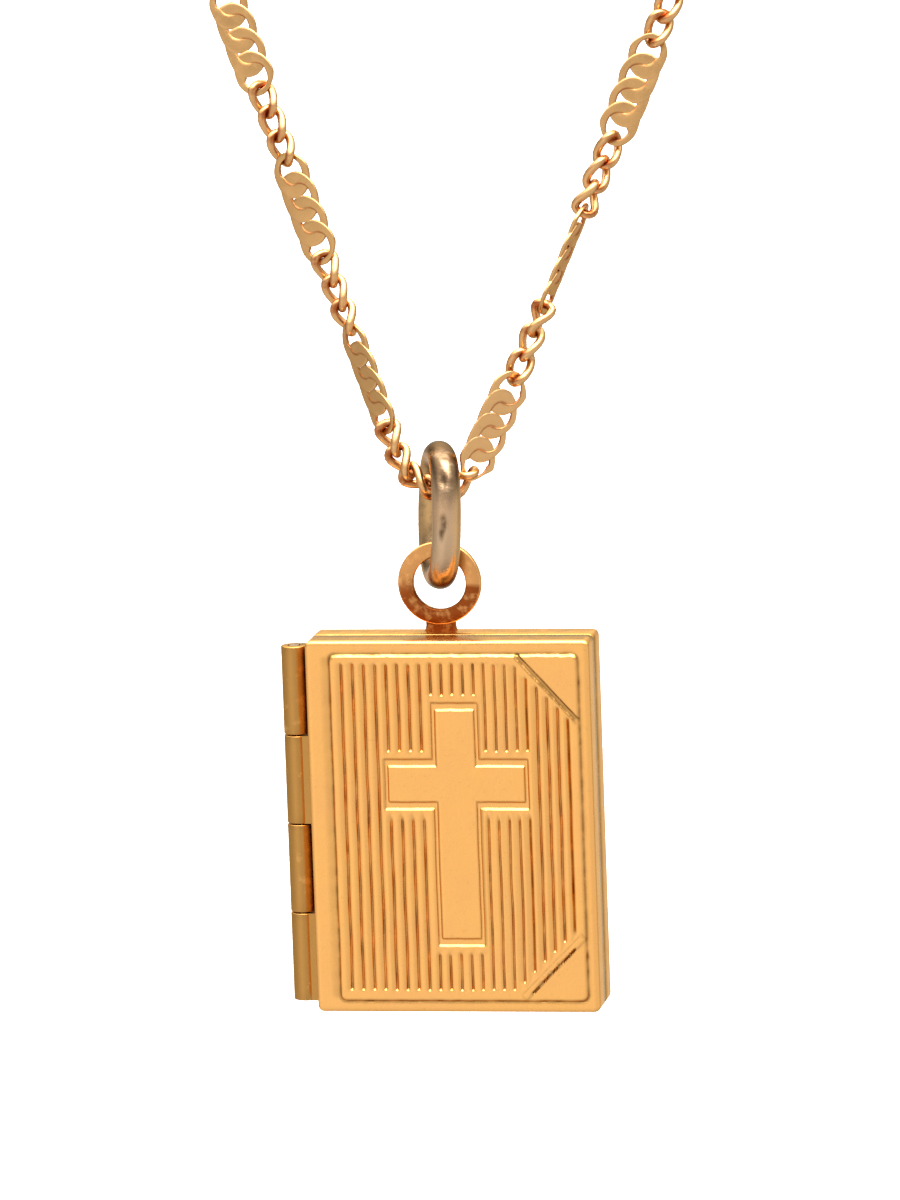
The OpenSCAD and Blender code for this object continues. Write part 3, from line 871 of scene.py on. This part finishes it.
    def crowned(self, face: Face) -> Array:
        """The rounding of the ribs: the cosine of the place between two grooves, where the panel has ribs.

        Args:
            face: the points.

        Returns:
            How much lower the rib is at each point, from -1 to 1.
        """
        (first, second), x, z = self.stops()[:2], face.x - self.right + self.corner_l, face.z
        ribbed = face.box((self.left + 0.2, self.groove_top), (self.right - 0.5, self.groove_bottom), (0.2, 0.2))
        ribbed = ribbed * (1.0 - self.cross(face, self.moat_side + 0.1, self.moat_w + 0.3, (0.2, 0.3)))
        ribbed = ribbed * (1.0 - ramp(np.maximum(x - z + self.top, x + z - self.bottom) + 0.7, 0.3))
        return np.cos((face.x - first) * (math.tau / (second - first))) * ribbed

    def height(self, face: Face) -> tuple[Array, Array]:
        """How far the face stands out from its flat margin, and how much painted shade lies there.

        height = rise panel - moat - grooves - shoulders - slants + ridge - outline - crown + low waves; each
        groove is depth exp(-(dx / half)^2) on shoulders of the same form.

        Args:
            face: the points.

        Returns:
            The height in mm, and the painted shade from 0 to 1.
        """
        rng = np.random.default_rng(SEED)
        face = Face(face.x, face.z + 0.012 * waves(rng, face.x, (0.7, 4.0), 9))
        x, z, r = face.x, face.z, self.round
        across, down = np.minimum(x - self.left, self.right - x), np.minimum(z - self.top, self.bottom - z)
        inside = np.where((across > r) & (down > r), np.minimum(across, down),
                          r - np.hypot(np.maximum(r - across, 0.0), np.maximum(r - down, 0.0)))
        upper_edge = np.exp(-((z - self.top - 0.1) / 0.25) ** 2)
        panel = ramp(inside + 0.03 * upper_edge * waves(rng, x, (0.25, 1.2), 9), 0.18 + 0.06 * upper_edge)
        outline = np.exp(-((inside + 0.03) / self.outline.half) ** 2)
        outline *= 0.75 + 0.25 * waves(rng, x + z, (0.5, 3.0), 8)
        groove, shoulder, shade = np.zeros((3, *x.shape))
        for gx in self.stops():
            deep = 1.0 + 0.22 * waves(rng, z, (1.2, 6.0), 6)
            mask = np.zeros_like(x)
            for top, bottom in self.stretches(gx):
                mask = np.maximum(mask, ramp(z - top - 0.08 + 0.04 * rng.uniform(-1, 1), 0.22)
                                  * ramp(bottom - z - 0.05 + 0.03 * rng.uniform(-1, 1), 0.12))
            groove = np.maximum(groove, mask * deep * np.exp(-((x - gx) / self.groove.half) ** 2))
            shoulder = np.maximum(shoulder, mask * np.exp(-((x - gx) / self.shoulder.half) ** 2))
            shade = np.maximum(shade, mask * np.exp(-((x - gx + 0.06) / 0.13) ** 2))
        moat = np.clip(self.cross(face, self.moat_side, self.moat_w, (0.11, 0.2))
                       - self.cross(face, 0.0, 0.0, (0.11, 0.16)), 0.0, 1.0)
        upper, slant_shade, lower, ridge = self.corners(face)
        uneven = 0.004 * waves(rng, x + 0.6 * z, (3.0, 9.0), 7) + 0.004 * waves(rng, z - 0.4 * x, (2.5, 8.0), 7)
        h = (self.rise * panel - self.moat_deep * moat - self.groove.deep * groove - self.shoulder.deep * shoulder
             - self.upper.deep * upper - self.lower.deep * lower + self.ridge.deep * ridge
             - self.outline.deep * outline - self.crown * self.crowned(face) + uneven)
        # Painted shade in the grooves and to one side of each, on the moat's slopes, along the slanting lines, on the
        # ridge's slopes and in the outline.
        painted_shade = (0.6 * groove ** 2 + 0.14 * shade + 1.6 * moat * (1.0 - moat) + np.maximum(slant_shade, lower)
                 + 0.8 * ridge * (1.0 - ridge) + outline)
        return h, np.clip(painted_shade, 0.0, 1.0)

    def wander(self, face: Face) -> Array:
        """A sideways wander of the hand-cut lines, up to about 0.03 mm, different from rib to rib.

        Args:
            face: the points.

        Returns:
            How far each point moves to the right, in mm.
        """
        rng, x = np.random.default_rng(SEED + 7), face.x[:, 0]
        stops = np.concatenate([[0.0], self.stops(), [self.leaves.w]])
        wander = np.stack([0.015 * waves(rng, face.z[0], (2.5, 9.0), 6) for _ in stops])
        wander[0] = wander[-1] = 0.0
        low = np.clip(np.searchsorted(stops, x) - 1, 0, len(stops) - 2)
        f = smooth((x - stops[low]) / (stops[low + 1] - stops[low]))[:, None]
        return wander[low] * (1.0 - f) + wander[low + 1] * f


@dataclass
class FrontLeaf:
    """The front cover with its relief and its two knuckles."""

    leaves: Leaves
    relief: Relief

    def build(self, finish: "Gold") -> bpy.types.Object:
        """Makes the face as a height over its margin, (x, -depth - height, -z), and the tray behind it.

        Args:
            finish: the metal.

        Returns:
            The cover.
        """
        xs, zs = self.relief.samples()
        face, shell = Face.cut(xs, zs), Shell()
        h, painted_shade = self.relief.height(face)
        fade = smooth(face.from_rim() / 0.3)
        moved = Face(face.x + self.relief.wander(face) * fade, face.z)
        # The face carries the relief's painted shade.
        shell.grid(moved.at(-self.leaves.d - h * fade), mark=painted_shade)
        self.leaves.tray(shell, -1, xs, zs)
        # The front knuckles and webs take the cover's brown worn tint as painted shade.
        self.leaves.knuckles(shell, (1, 3), -1, wear=1.8)
        self.leaves.hang(shell)
        return shell.finished("front_cover", 50, finish, "cover", "cover_gold", "front_leaf")


@dataclass
class BackLeaf:
    """The back cover with its snap rim, its two knuckles, and the eye on its stem."""

    leaves: Leaves
    rim_h: float = 0.5
    rim_t: float = 0.3
    rim_gap: float = 0.12
    bevel: float = 0.05
    eye_edge: float = 0.09

    def snap_rim(self, shell: Shell) -> None:
        """Adds the frame that the front leaf closes over: four walls round the inside.

        Args:
            shell: takes the surface.
        """
        lv = self.leaves
        xs, zs = lv.side_samples()
        near, depth, top, b = lv.sheet + self.rim_gap, lv.d - lv.sheet, -self.rim_h, self.bevel
        far = near + self.rim_t
        profile = [(near, depth), (near, top + b), (near + b, top), (far - b, top), (far, top + b), (far, depth)]
        shell.lofted([lv.ring(i, v, xs, zs) for i, v in profile])

    def eye(self, shell: Shell) -> None:
        """Adds the flat ring with round edges, revolved about its own axis, and its stem.

        Args:
            shell: takes the surfaces.
        """
        lv, b, half, t = self.leaves, self.eye_edge, self.leaves.eye_t / 2, around(96)
        arc = [(b - b * math.cos(a), half - b + b * math.sin(a)) for a in np.radians([0.0, 30.0, 60.0, 90.0])]
        profile = [(lv.eye_r - r, y) for r, y in arc] + [(lv.eye_hole_r + r, y) for r, y in arc[::-1]]
        profile += [(r, -y) for r, y in profile[::-1]]
        right = np.cos(t) > 0
        low = smooth((np.where(right, 0.02, 0.45) - np.sin(t)) / np.where(right, 0.16, 0.8))
        share = np.array([[0.45 if r > lv.eye_r - 0.6 * b else 1.0] for r, _ in profile])
        shell.grid(revolved(profile, len(t), (lv.eye_x, lv.eye_y, lv.eye_z)), (True, True),
                   wear=share * (0.42 + 0.58 * low))
        z = np.linspace(-0.2, lv.eye_z - lv.eye_hole_r - 0.15, 9)
        wide = lv.stem_w / 2 + 0.1 * (1.0 - smooth((z + 0.1) / 0.35))
        c, s = bent(np.cos(around(32)), 0.35), bent(np.sin(around(32)), 0.35)
        shell.lofted([np.stack([lv.eye_x + w * c, lv.eye_y + (half - 0.015) * s, np.full_like(c, v)], -1)
                      for w, v in zip(wide, z)], flip=True, wear=1.0)

    def build(self, finish: "Gold") -> bpy.types.Object:
        """Makes the plain back, a nearly flat face (x, depth + a low wave, -z), and the tray before it.

        Args:
            finish: the metal.

        Returns:
            The back cover.
        """
        rng = np.random.default_rng(SEED + 3)
        xs, zs = self.leaves.side_samples()
        face, shell = Face.cut(xs, zs), Shell()
        wave = 0.006 * waves(rng, face.x + 0.5 * face.z, (3.0, 9.0), 7) * smooth(face.from_rim() / 1.5)
        shell.grid(face.at(self.leaves.d - np.abs(wave)), flip=True)
        self.leaves.tray(shell, 1, xs, zs)
        self.snap_rim(shell)
        # The back knuckles and webs take the case's brown dark tint as painted shade.
        self.leaves.knuckles(shell, (0, 2), 1, mark=1.0)
        self.eye(shell)
        self.leaves.hang(shell)
        return shell.finished("back_cover", 50, finish, "locket", "case_gold", "back_leaf")


@dataclass
class Clasp:
    """The plain ring clasp at the nape, with its sleeve and thumb knob."""

    loop: Loop
    knob_l: float = 1.1
    knob_r: float = 0.22
    knob_root: float = 0.3

    def build(self, finish: "Gold") -> bpy.types.Object:
        """Makes the ring, a circle carried round a circle, the sleeve over a sixth of it, and the knob.

        Args:
            finish: the metal.

        Returns:
            The clasp.
        """
        shell, s, ring_r = Shell(), around(24), self.loop.clasp_r

        def tube(t: Array, r: Array) -> Array:
            """Points of a tube of radius r(t) round the ring's middle line."""
            out = ring_r + r[:, None] * np.cos(s)
            return np.stack([out * np.cos(t)[:, None], out * np.sin(t)[:, None], r[:, None] * np.sin(s)], -1)

        t = around(96)
        shell.grid(tube(t, np.full_like(t, self.loop.clasp_wire / 2)), (True, True))
        thick = self.loop.clasp_wire / 2 + self.loop.play
        start = np.array([60.0, 60.0, 60.6, 62.0])
        rim = np.array([0.3, thick - 0.06, thick - 0.02, thick])
        t = np.radians(np.concatenate([start, np.linspace(64.0, 116.0, 20), 180.0 - start[::-1]]))
        shell.grid(tube(t, np.concatenate([rim, np.full(20, thick), rim[::-1]])), (False, True))
        profile = [(0.0, self.knob_l), (self.knob_r * 0.6, self.knob_l - 0.01), (self.knob_r, self.knob_l - 0.09),
                   (self.knob_r, self.knob_root)]
        shell.lofted(revolved(profile, 24, (0.0, ring_r, 0.0)))
        shell.moved(np.eye(3), np.array([0.0, self.loop.height, 0.0]))
        shell.moved(self.loop.stand, self.loop.apex)
        return shell.finished("ring_clasp", 40, finish, "chain", "clasp_gold", "clasp")


# ---- finishes

@dataclass
class Wiring:
    """Adds and joins the nodes of one tree."""

    tree: bpy.types.NodeTree

    def feed(self, value: object, into: Socket) -> None:
        """Links an input to a socket, or sets it.

        Args:
            value: a socket, number or colour.
            into: the input.
        """
        if isinstance(value, Socket):
            self.tree.links.new(value, into)
        else:
            into.default_value = value

    def node(self, kind: str, inputs: dict[str | int, object] | None = None, **settings: object) -> bpy.types.Node:
        """Adds a node.

        Args:
            kind: its type.
            inputs: a socket or a value for each input that is fed, by name or number.
            settings: its own settings, such as its operation.

        Returns:
            The node.
        """
        made = self.tree.nodes.new(kind)
        for key, value in settings.items():
            setattr(made, key, value)
        for key, value in (inputs or {}).items():
            self.feed(value, made.inputs[key])
        return made

    def math(self, kind: str, a: object, b: object) -> Socket:
        """A sum or product of two sockets or numbers."""
        return self.node("ShaderNodeMath", {0: a, 1: b}, operation=kind).outputs[0]

    def mix(self, kind: str, factor: object, a: object, b: object) -> Socket:
        """Two colours mixed, with b laid over a by the factor."""
        return self.node("ShaderNodeMix", {0: factor, 6: a, 7: b}, data_type="RGBA", blend_type=kind).outputs[2]

    def between(self, value: Socket, low: float, high: float) -> Socket:
        """A value read from 0 at a low limit to 1 at a high one."""
        return self.node("ShaderNodeMapRange", {"Value": value, "From Min": low, "From Max": high}).outputs["Result"]


def worn_metal_and_painted_light() -> bpy.types.NodeTree:
    """Builds the shader group of old gilded metal: cloudy tints, a dark tint painted as shade in recesses and seams,
    a worn tint for wear and for painted shade and highlights, fine pits and dents.

    Returns:
        The group, with colours, amounts and a scale as inputs, and Color, Roughness and Height as outputs.
    """
    g = bpy.data.node_groups.new("worn_metal_and_painted_light", "ShaderNodeTree")
    for way, kind, sockets in (
            ("INPUT", "NodeSocketColor", {"Bright": (0.8, 0.45, 0.15, 1.0), "Cloud": (0.8, 0.4, 0.15, 1.0),
                                          "Dark": (0.3, 0.13, 0.04, 1.0), "Worn and painted light": (0.55, 0.17, 0.035, 1.0)}),
            ("INPUT", "NodeSocketFloat", {"Clouding": 0.5, "Gloss": 0.3, "Rough": 0.42, "Grain": 1.0,
                                          "Specks": 0.15}),
            ("OUTPUT", "NodeSocketColor", {"Color": None}),
            ("OUTPUT", "NodeSocketFloat", {"Roughness": None, "Height": None})):
        for name, value in sockets.items():
            made = g.interface.new_socket(name=name, in_out=way, socket_type=kind)
            if value is not None:
                made.default_value = value
    w = Wiring(g)
    take, give = w.node("NodeGroupInput").outputs, w.node("NodeGroupOutput").inputs
    where = w.node("ShaderNodeTexCoord").outputs["Object"]

    def noise(scale: float, detail: float, rough: float, low: float, high: float) -> Socket:
        """A noise texture with scale waves to the metre, read between two limits."""
        t = w.node("ShaderNodeTexNoise", {"Vector": where, "Scale": scale, "Detail": detail, "Roughness": rough})
        return w.between(t.outputs["Fac"], low, high)

    def carried(name: str) -> Socket:
        """The value that a surface carries under a name."""
        return w.node("ShaderNodeAttribute", attribute_name=name).outputs["Fac"]

    # The mark paints shade with the dark tint; the worn tint paints wear, and also painted shade and highlights.
    tint = take["Bright"]
    for amount, cover, other in ((noise(420.0, 3.0, 0.6, 0.35, 0.7), take["Clouding"], "Cloud"),
                                 (noise(5200.0, 2.0, 0.5, 0.62, 0.8), take["Specks"], "Dark"),
                                 (noise(1500.0, 2.0, 0.5, 0.05, 0.45), carried("mark"), "Dark"),
                                 (noise(1900.0, 3.0, 0.6, 0.13, 0.52), carried("wear"), "Worn and painted light")):
        tint = w.mix("MIX", w.math("MULTIPLY", amount, cover), tint, take[other])
    w.feed(tint, give["Color"])
    w.feed(w.mix("MIX", noise(800.0, 4.0, 0.65, 0.3, 0.75), take["Gloss"], take["Rough"]), give["Roughness"])
    pits = w.math("MULTIPLY", noise(4000.0, 3.0, 0.7, 0.3, 0.75), 0.6)
    relief = w.math("ADD", pits, noise(900.0, 2.0, 0.5, 0.2, 0.8))
    w.feed(w.math("MULTIPLY", relief, take["Grain"]), give["Height"])
    return g


@dataclass(frozen=True)
class Gold:
    """A finish of worn gilded metal with painted shade and highlights, made by the shared group and the shader's own
    sockets.
    """

    name: str
    group: bpy.types.NodeTree
    bright: Triple
    cloud: Triple
    dark: Triple
    worn_and_painted_tint: Triple = (0.62, 0.2, 0.045)
    clouding: float = 0.5
    gloss: float = 0.26
    rough: float = 0.4
    grain: float = 1.0
    specks: float = 0.15
    edge: Triple = (1.0, 1.0, 1.0)
    bump: float = 0.15
    bump_height: float = 0.05

    def material(self) -> bpy.types.Material:
        """Makes the material: the group feeds colour, roughness and the height of a bump.

        Returns:
            The material.
        """
        m = bpy.data.materials.new(self.name)
        m.use_nodes = True
        w = Wiring(m.node_tree)
        tints = {"Bright": self.bright, "Cloud": self.cloud, "Dark": self.dark, "Worn and painted light": self.worn_and_painted_tint}
        amounts = {"Clouding": self.clouding, "Gloss": self.gloss, "Rough": self.rough, "Grain": self.grain,
                   "Specks": self.specks}
        g = w.node("ShaderNodeGroup", node_tree=self.group)
        for key, value in ({key: (*rgb, 1.0) for key, rgb in tints.items()} | amounts).items():
            w.feed(value, g.inputs[key])
        bump = w.node("ShaderNodeBump", {"Strength": self.bump, "Distance": self.bump_height * MM,
                                         "Height": g.outputs["Height"]})
        for key, value in {"Metallic": 1.0, "Specular Tint": (*self.edge, 1.0), "Base Color": g.outputs["Color"],
                           "Roughness": g.outputs["Roughness"], "Normal": bump.outputs["Normal"]}.items():
            w.feed(value, m.node_tree.nodes["Principled BSDF"].inputs[key])
        return m

    def dress(self, piece: bpy.types.Object) -> None:
        """Puts the finish on a piece in place of what it had."""
        piece.data.materials.clear()
        piece.data.materials.append(self.material())


# ---- the studio

@dataclass
class Studio:
    """A pale floor, a soft light room and the camera at the photograph's angle.

    The room's light is the product of three greys, each given as places from 0 to 1 along an axis of the sky
    and the brightness there.
    """

    loop: Loop
    azimuth: float = 10.0
    elevation: float = 4.7
    distance: float = 500.0
    scale: float = 18.94
    sensor: float = 36.0
    link_px: Pair = (439.5, 487.0)
    image: tuple[int, int] = (900, 1200)
    floor_z: float = -400.0
    floor_half: float = 40000.0
    upward: tuple[Pair, ...] = (
        (0.0, 0.85), (0.26, 1.02), (0.38, 1.12), (0.5, 1.02), (0.64, 0.66), (0.74, 1.8), (0.86, 3.5), (1.0, 5.5))
    across: tuple[Pair, ...] = (
        (0.0, 0.66), (0.1, 0.88), (0.26, 1.08), (0.41, 1.0), (0.55, 0.87), (0.8, 0.85), (1.0, 0.84))
    away: tuple[Pair, ...] = ((0.0, 1.0), (0.55, 1.0), (0.78, 0.62), (1.0, 0.9))
    lamp_at: Triple = (60.0, -200.0, 420.0)
    lamp_size: float = 360.0
    lamp_power: float = 2.4

    def stand(self, data: bpy.types.ID, turned: Quaternion, at: Vector) -> bpy.types.Object:
        """Stands a camera or lamp in the scene.

        Args:
            data: the camera or lamp.
            turned: which way it is turned.
            at: its place, in mm.

        Returns:
            Its object.
        """
        made = bpy.data.objects.new(data.name, data)
        made.rotation_mode = "QUATERNION"
        made.rotation_quaternion = turned
        made.location = at * MM
        bpy.context.scene.collection.objects.link(made)
        return made

    def camera(self) -> None:
        """Stands the camera back from the link in the bail so that the link falls on its place in the picture.

        The lens is sensor * distance * scale / image height, so 1 mm there is scale pixels.
        """
        a, e = math.radians(self.azimuth), math.radians(self.elevation)
        back = Vector((math.sin(a) * math.cos(e), -math.cos(a) * math.cos(e), math.sin(e)))
        q = (-back).to_track_quat("-Z", "Y")
        off = Vector((self.image[0] / 2 - self.link_px[0], self.link_px[1] - self.image[1] / 2, 0.0))
        data = bpy.data.cameras.new("camera")
        data.sensor_fit, data.sensor_width = "AUTO", self.sensor
        data.lens = self.sensor * self.distance * self.scale / self.image[1]
        data.clip_start, data.clip_end = 0.01, 50.0
        at = Vector(self.loop.apex) + q @ off / self.scale + back * self.distance
        bpy.context.scene.camera = self.stand(data, q, at)

    def floor(self) -> None:
        """Makes the pale floor far below the hanging locket, clear from below and not part of the object."""
        half, z = self.floor_half * MM, self.floor_z * MM
        data = bpy.data.meshes.new("floor")
        data.from_pydata([(-half, -half, z), (half, -half, z), (half, half, z), (-half, half, z)], [], [(0, 1, 2, 3)])
        m = bpy.data.materials.new("pale_floor")
        m.use_nodes = True
        w, n = Wiring(m.node_tree), m.node_tree.nodes
        pale = n["Principled BSDF"]
        w.feed((0.93, 0.93, 0.93, 1.0), pale.inputs["Base Color"])
        w.feed(0.9, pale.inputs["Roughness"])
        below = w.node("ShaderNodeNewGeometry").outputs["Backfacing"]
        clear = w.node("ShaderNodeBsdfTransparent").outputs[0]
        mixed = w.node("ShaderNodeMixShader", {0: below, 1: pale.outputs[0], 2: clear})
        w.feed(mixed.outputs[0], n["Material Output"].inputs["Surface"])
        data.materials.append(m)
        piece = bpy.data.objects.new("floor", data)
        bpy.context.scene.collection.objects.link(piece)
        piece.visible_glossy = False

    def room(self) -> None:
        """Lights the object with a soft world, brighter above than at its sides, and plain white to the camera."""
        world = bpy.data.worlds.new("room")
        bpy.context.scene.world = world
        world.use_nodes = True
        w = Wiring(world.node_tree)
        sky = w.node("ShaderNodeSeparateXYZ", {0: w.node("ShaderNodeTexCoord").outputs["Generated"]}).outputs

        def graded(axis: str, stops: tuple[Pair, ...]) -> Socket:
            """A grey that changes along an axis.

            Args:
                axis: "X", "Y" or "Z".
                stops: places, from 0 for the axis's low end to 1 for its high end, and the grey at each.

            Returns:
                The grey.
            """
            band = w.node("ShaderNodeValToRGB", {"Fac": w.between(sky[axis], -1.0, 1.0)})
            band.color_ramp.interpolation = "EASE"
            marks = band.color_ramp.elements
            marks[0].position, marks[1].position = stops[0][0], stops[-1][0]
            for at, _ in stops[1:-1]:
                marks.new(at)
            for mark, (_, grey) in zip(marks, stops):
                mark.color = (grey, grey, grey, 1.0)
            return band.outputs["Color"]

        light = w.mix("MULTIPLY", 1.0, graded("Z", self.upward), graded("X", self.across))
        light = w.mix("MULTIPLY", 1.0, light, graded("Y", self.away))
        seen = w.mix("MIX", w.node("ShaderNodeLightPath").outputs["Is Camera Ray"], light, (1.0, 1.0, 1.0, 1.0))
        w.feed(seen, world.node_tree.nodes["Background"].inputs["Color"])

    def lamp(self) -> None:
        """Makes the large square soft lamp overhead, which faces the locket and isn't seen itself."""
        data, at = bpy.data.lights.new("lamp_above", "AREA"), Vector(self.lamp_at)
        data.shape, data.size, data.energy = "SQUARE", self.lamp_size * MM, self.lamp_power
        self.stand(data, at.to_track_quat("Z", "Y"), Vector(self.loop.apex) + at).visible_camera = False


def main() -> None:
    """Builds the necklace from the chain down to the locket, then the studio round it."""
    logging.basicConfig(level=logging.INFO, format="%(message)s")
    bpy.context.scene.view_settings.view_transform = "Standard"
    group = worn_metal_and_painted_light()
    # brown is painted shade: on the front knuckles through the cover's worn tint, and on the case's knuckles, seam
    # and top wall through its dark tint, which also colours the case's specks.
    brown, warm_edge = (0.5, 0.25, 0.065), (1.0, 0.86, 0.58)
    # The cover's dark tint paints the shade in its grooves, outline and seam.
    cover = Gold("cover_gold", group, (0.93, 0.475, 0.135), (0.9, 0.44, 0.15), (0.27, 0.135, 0.035), brown,
                 gloss=0.2, rough=0.34, edge=warm_edge)
    case = Gold("case_gold", group, (0.92, 0.48, 0.16), (0.9, 0.45, 0.16), brown, (0.28, 0.065, 0.012),
                gloss=0.22, rough=0.36, edge=warm_edge)
    pin = Gold("pin_gold", group, (0.5, 0.3, 0.12), (0.45, 0.25, 0.1), (0.3, 0.15, 0.05))
    # The bail's worn tint is a painted golden highlight; its dark tint paints its shade and dents.
    bail_gold = Gold("bail_gold", group, (0.55, 0.38, 0.23), (0.66, 0.4, 0.22), (0.14, 0.085, 0.045),
                     (0.74, 0.44, 0.17), clouding=1.0, gloss=0.16, rough=0.36, grain=1.6, edge=(0.85, 0.7, 0.55))
    # The chain's worn tint paints wear and shade where links meet and in the bars' holes; its dark tint gives the
    # bars' tone.
    chain_gold = Gold("chain_gold", group, (0.77, 0.45, 0.19), (0.76, 0.41, 0.17), (0.57, 0.32, 0.12),
                      (0.38, 0.1, 0.025), gloss=0.22, rough=0.36, specks=0.6, edge=(0.88, 0.68, 0.5))
    loop = Loop()
    LOG.info("the loop is %.3f mm high", loop.height)
    bail = Bail(loop)
    leaves = Leaves(loop, bail)
    FrontLeaf(leaves, Relief(leaves)).build(cover)
    BackLeaf(leaves).build(case)
    pin.dress(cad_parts["hinge_pin"])
    bail.build(bail_gold)
    Chain(loop, Hand.LEFT, ((0, 70), (1, 59), (2, 49), (4, 46), (7, 44), (11, 20), (14, 16), (19, 0)), 0).build(
        "left_chain", "chain_left", chain_gold)
    Chain(loop, Hand.RIGHT, ((0, 70), (1, 58), (2, 32), (5, 32), (9, -95), (12, -95), (16, -180)), 1).build(
        "right_chain", "chain_right", chain_gold)
    Clasp(loop).build(chain_gold)
    studio = Studio(loop)
    studio.camera()
    studio.floor()
    studio.room()
    studio.lamp()


if __name__ == "__main__":
    main()
